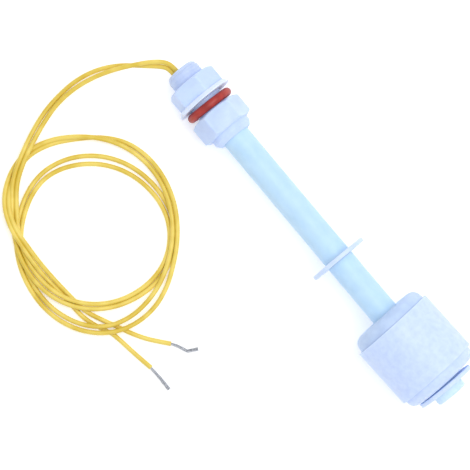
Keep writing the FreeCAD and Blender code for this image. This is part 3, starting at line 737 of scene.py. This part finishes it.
NUT_FLATS = 13.2
NUT_TURN = 46.4
NUT_LOW = -10.25
NUT_HIGH = -3.65
FLANGE_TOP = -4.9
FLANGE_RIM = 0.3
FLANGE = 8.375
FLANGE_NECK = 7.65
NUT_HOLE = 4.81
NUT_FALL = 0.6
NUT_EDGE = 0.2
NUT_SUNK = 0.5

build = bmesh.new()
hexagon_block(
    build, NUT_FLATS, NUT_TURN, NUT_LOW, FLANGE_TOP + NUT_SUNK, NUT_HOLE, NUT_FALL, 0, NUT_EDGE,
)
lock_nut = keep("moulded_nut", build, seat, head_plastic)
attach(lock_nut, "nut")
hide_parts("lock_nut")

# The flange thins to a fine edge and lets the light through, so it looks paler than the hexagon;
# this paler copy of the nut's plastic is painted light, not a different material.
flange_plastic_painted_paler = moulded_plastic("flange_polypropylene_painted_light", "#D7E2F8", "#CCD9F2", 0.3, 4, 0.25)
build = bmesh.new()
flange = [
    (NUT_HOLE, FLANGE_TOP), (FLANGE_NECK, FLANGE_TOP), (FLANGE, NUT_HIGH - FLANGE_RIM),
    (FLANGE, NUT_HIGH), (NUT_HOLE, NUT_HIGH),
]
turn(build, rounded(flange, {1: 0.2, 2: 0.12, 3: 0.12, 4: 0.25}))
nut_flange = keep("nut_flange", build, seat, flange_plastic_painted_paler)
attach(nut_flange, "nut")


# ---- sealing ring --------------------------------------------------------------------------------
# A red silicone rubber ring of round section, moulded in two halves, loose on the thread.
# It seals against the tank wall when the nut is drawn up.

SEAL_SECTION = 2.35
SEAL_GAP = 0.05
SEAL_MIDDLE = THREAD + SEAL_GAP + SEAL_SECTION / 2
SEAL_HEIGHT = -1.88
SEAL_SWING = 1.8
SEAL_TILT = 4.0
SEAL_STEPS = 28
SEAL_SEGMENTS = 120

RUBBER_RED = "#AE362D"
RUBBER_DARK = "#932822"
rubber, tree, place = new_material("moulded_silicone_rubber")
tint = blend(tree, noise(tree, place, 400, 4), RUBBER_DARK, RUBBER_RED, 0.35, 0.6)
relief = bump(tree, noise(tree, place, 5000, 2), 0.2, 0.00005)
end_material(
    tree,
    {"Roughness": 0.42, "IOR": 1.48},
    {"Base Color": (tint, "Color"), "Normal": (relief, "Normal")},
)

build = bmesh.new()
section = []
for step in range(SEAL_STEPS):
    angle = math.tau * step / SEAL_STEPS
    section.append((
        SEAL_MIDDLE + SEAL_SECTION / 2 * math.cos(angle),
        SEAL_SECTION / 2 * math.sin(angle),
    ))
turn(build, section, SEAL_SEGMENTS)
lean = Matrix.Rotation(math.radians(SEAL_SWING), 4, "X")
lean @= Matrix.Rotation(math.radians(SEAL_TILT), 4, "Y")
tilted = seat @ Matrix.Translation((0, 0, SEAL_HEIGHT / 1000)) @ lean
sealing_ring = keep("rubber_ring", build, tilted, rubber)
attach(sealing_ring, "root")
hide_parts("sealing_ring")


# ---- stem, stop rings and end plug ---------------------------------------------------------------
# An extruded polypropylene tube, glued into the head, with a turned groove for the upper ring.
# Two moulded snap rings bound the float's travel, and a plug closes the end.

stem_plastic = moulded_plastic("extruded_polypropylene", "#BAD9F3", "#AFD0EC", 0.3, 6, 0.4)
ring_plastic = moulded_plastic("snap_ring_polypropylene", "#CADAF4", "#BECEEC", 0.3, 4, 0.25)
plug_plastic = moulded_plastic("plug_polypropylene", "#CDE3F5", "#C0D9EF", 0.3, 4, 0.25)
RING = 8.55
RING_HOLE = 3.55
RING_THICKNESS = 1.2
RING_SLOT = 3.1
RING_ROUND = 0.3
RING_BEVEL = 0.1
RING_STATIONS = 96
RIM_STEPS = 5
UPPER_RING = 51.8
LOWER_RING = 96.6


def snap_ring(name, height):
    """A disc with a hole for the groove and a slot that opens it on one side."""
    build = bmesh.new()
    outer_start = math.asin(RING_SLOT / RING)
    inner_start = math.asin(RING_SLOT / RING_HOLE)
    low, high = height, height + RING_THICKNESS
    rows = []
    for i in range(RING_STATIONS + 1):
        part = i / RING_STATIONS
        outer = outer_start + (math.tau - 2 * outer_start) * part
        inner = inner_start + (math.tau - 2 * inner_start) * part
        tip = direction(outer) * RING
        root = direction(inner) * RING_HOLE
        way = (tip - root).normalized()
        inset = root + way * RING_BEVEL
        loop = [(root, low + RING_BEVEL), (inset, low)]
        for step in range(RIM_STEPS + 1):
            angle = math.radians(-90 + 90 / RIM_STEPS * step)
            rim = tip - way * RING_ROUND * (1 - math.cos(angle))
            loop.append((rim, low + RING_ROUND * (1 + math.sin(angle))))
        for step in range(RIM_STEPS + 1):
            angle = math.radians(90 / RIM_STEPS * step)
            rim = tip - way * RING_ROUND * (1 - math.cos(angle))
            loop.append((rim, high - RING_ROUND * (1 - math.sin(angle))))
        loop += [(inset, high), (root, high - RING_BEVEL)]
        rows.append([build.verts.new((p.x, p.y, z)) for p, z in loop])
    bridge(build, rows)
    build.faces.new(rows[0])
    build.faces.new(rows[-1])
    ring = keep(name, build, seat, ring_plastic)
    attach(ring, "root")
    return ring


upper_ring = snap_ring("upper_snap_ring", UPPER_RING)
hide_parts("upper_stop_ring")
lower_ring = snap_ring("lower_snap_ring", LOWER_RING)
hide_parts("lower_stop_ring")


# ---- float ---------------------------------------------------------------------------------------
# Two moulded polypropylene shells, a cup and a lid, welded round the rim. The ring magnet is shut
# in between them. The float hangs loose on the stem and leans a little as it lies.

FLOAT_SWING = 2.1
FLOAT_MIDDLE = Vector((0.040991, 0, 0.012383))
CUP = 12.0
CUP_BASE = 11.15
CUP_RIM = 75.3
CUP_STEP = 93.1
CUP_END = 96.1
BASE_ROUND = 2.9
BASE_BEVEL = 2.4
CAP = 11.05
CAP_END = 71.8
CAP_ROUND = 3.2
CAP_BEVEL = 1.9
WALL = 1.3
BORE = 4.6955
TUBE_WALL = 1.0
LEDGE = 1.3
LEDGE_FACE = 83.2
LID_GAP = 0.05
HUB = BORE + TUBE_WALL + LID_GAP
HUB_WALL = 1.2
HUB_END = 76.6
SPIGOT = CUP - WALL - LID_GAP
SPIGOT_DEPTH = 1.5
LID_SEAT = CUP_RIM - 0.01
FLOAT_SEGMENTS = 160

lid_plastic = moulded_plastic("lid_polypropylene", "#B9CDEA", "#ABC0E0", 0.35, 2.5, 0.3)
float_plastic = moulded_plastic("float_polypropylene", "#C7D8F9", "#BBCDF3", 0.35, 1.6, 0.3)
swing = Matrix.Translation(FLOAT_MIDDLE) @ Matrix.Rotation(math.radians(FLOAT_SWING), 4, "Z")
float_seat = swing @ Matrix.Translation(-FLOAT_MIDDLE) @ seat

build = bmesh.new()
cup_outline = [
    (BORE, CUP_END), (BORE, CAP_END + WALL),
    (BORE + TUBE_WALL, CAP_END + WALL), (BORE + TUBE_WALL, LEDGE_FACE),
    (BORE + TUBE_WALL + LEDGE, LEDGE_FACE), (BORE + TUBE_WALL + LEDGE, CUP_END - WALL),
    (CUP - WALL - BASE_BEVEL, CUP_END - WALL), (CUP - WALL, CUP_END - WALL - BASE_BEVEL),
    (CUP - WALL, CUP_RIM), (CUP, CUP_RIM), (CUP, CUP_STEP), (CUP_BASE, CUP_STEP),
    (CUP_BASE, CUP_END),
]
cup_edges = {0: 0.3, 9: 0.2, 10: 0.3, 11: 0.15, 12: BASE_ROUND}
turn(build, rounded(cup_outline, cup_edges), FLOAT_SEGMENTS)
cup = keep("float_cup_shell", build, float_seat, float_plastic)
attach(cup, "float")
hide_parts("float_cup")

build = bmesh.new()
lid_outline = [
    (BORE, CAP_END), (BORE, CAP_END + WALL), (HUB, CAP_END + WALL), (HUB, HUB_END),
    (HUB + HUB_WALL, HUB_END), (HUB + HUB_WALL, CAP_END + WALL),
    (SPIGOT - WALL - CAP_BEVEL, CAP_END + WALL), (SPIGOT - WALL, CAP_END + WALL + CAP_BEVEL),
    (SPIGOT - WALL, CUP_RIM + SPIGOT_DEPTH), (SPIGOT, CUP_RIM + SPIGOT_DEPTH), (SPIGOT, LID_SEAT),
    (CAP, LID_SEAT), (CAP, CAP_END),
]
turn(build, rounded(lid_outline, {0: 0.3, 12: CAP_ROUND}), FLOAT_SEGMENTS)
lid = keep("float_lid", build, float_seat, lid_plastic)
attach(lid, "float")
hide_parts("float_cap")


# ---- inside the stem and the float ---------------------------------------------------------------
# The hidden pieces, the stem and the end plug keep the shapes they were drawn with.
# Each takes the finish of the real thing.

def plain_finish(name, light, dark, speck, sockets):
    """A clouded surface of two near colours, with a fine bump of the same speck size."""
    material, tree, place = new_material(name)
    cloud = noise(tree, place, 1000 / speck, 4)
    tint = blend(tree, cloud, dark, light)
    relief = bump(tree, cloud, 0.2, 0.00003)
    end_material(tree, sockets, {"Base Color": (tint, "Color"), "Normal": (relief, "Normal")})
    return material


ferrite = plain_finish("sintered_ferrite", "#3A3A3E", "#26262A", 0.3, {"Roughness": 0.7})
reed_glass = plain_finish("sealed_green_glass", "#CFE6D4", "#BFDCC6", 2, {
    "Roughness": 0.05, "IOR": 1.52, "Transmission Weight": 0.8,
})
reed_plating = plain_finish("plated_nickel_iron", "#C9C6BD", "#B4B1A8", 0.4, {
    "Metallic": 1.0, "Roughness": 0.3,
})
bright_solder = plain_finish("bright_solder", "#CFD1D6", "#B2B5BC", 0.5, {
    "Metallic": 1.0, "Roughness": 0.25,
})
sleeve_film = plain_finish("milky_sleeve_film", "#E9EAE6", "#DADCD6", 1.5, {"Roughness": 0.4})
black_resin = plain_finish("cast_black_epoxy", "#1E1C1C", "#121111", 0.8, {
    "Roughness": 0.25, "Coat Weight": 0.3,
})

CARRIED = [
    ("ring_magnet", ferrite), ("reed_glass", reed_glass), ("reed_blade_upper", reed_plating),
    ("reed_blade_lower", reed_plating), ("solder_joint_upper", bright_solder),
    ("solder_joint_lower", bright_solder), ("conductor_a", tinned), ("conductor_b", tinned),
    ("inner_wire_a", pvc), ("inner_wire_b", pvc), ("insulating_sleeve", sleeve_film),
    ("potting_plug", black_resin), ("stem_tube", stem_plastic), ("end_plug", plug_plastic),
]
for node, finish in CARRIED:
    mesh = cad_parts[node].data
    mesh.materials.clear()
    mesh.materials.append(finish)
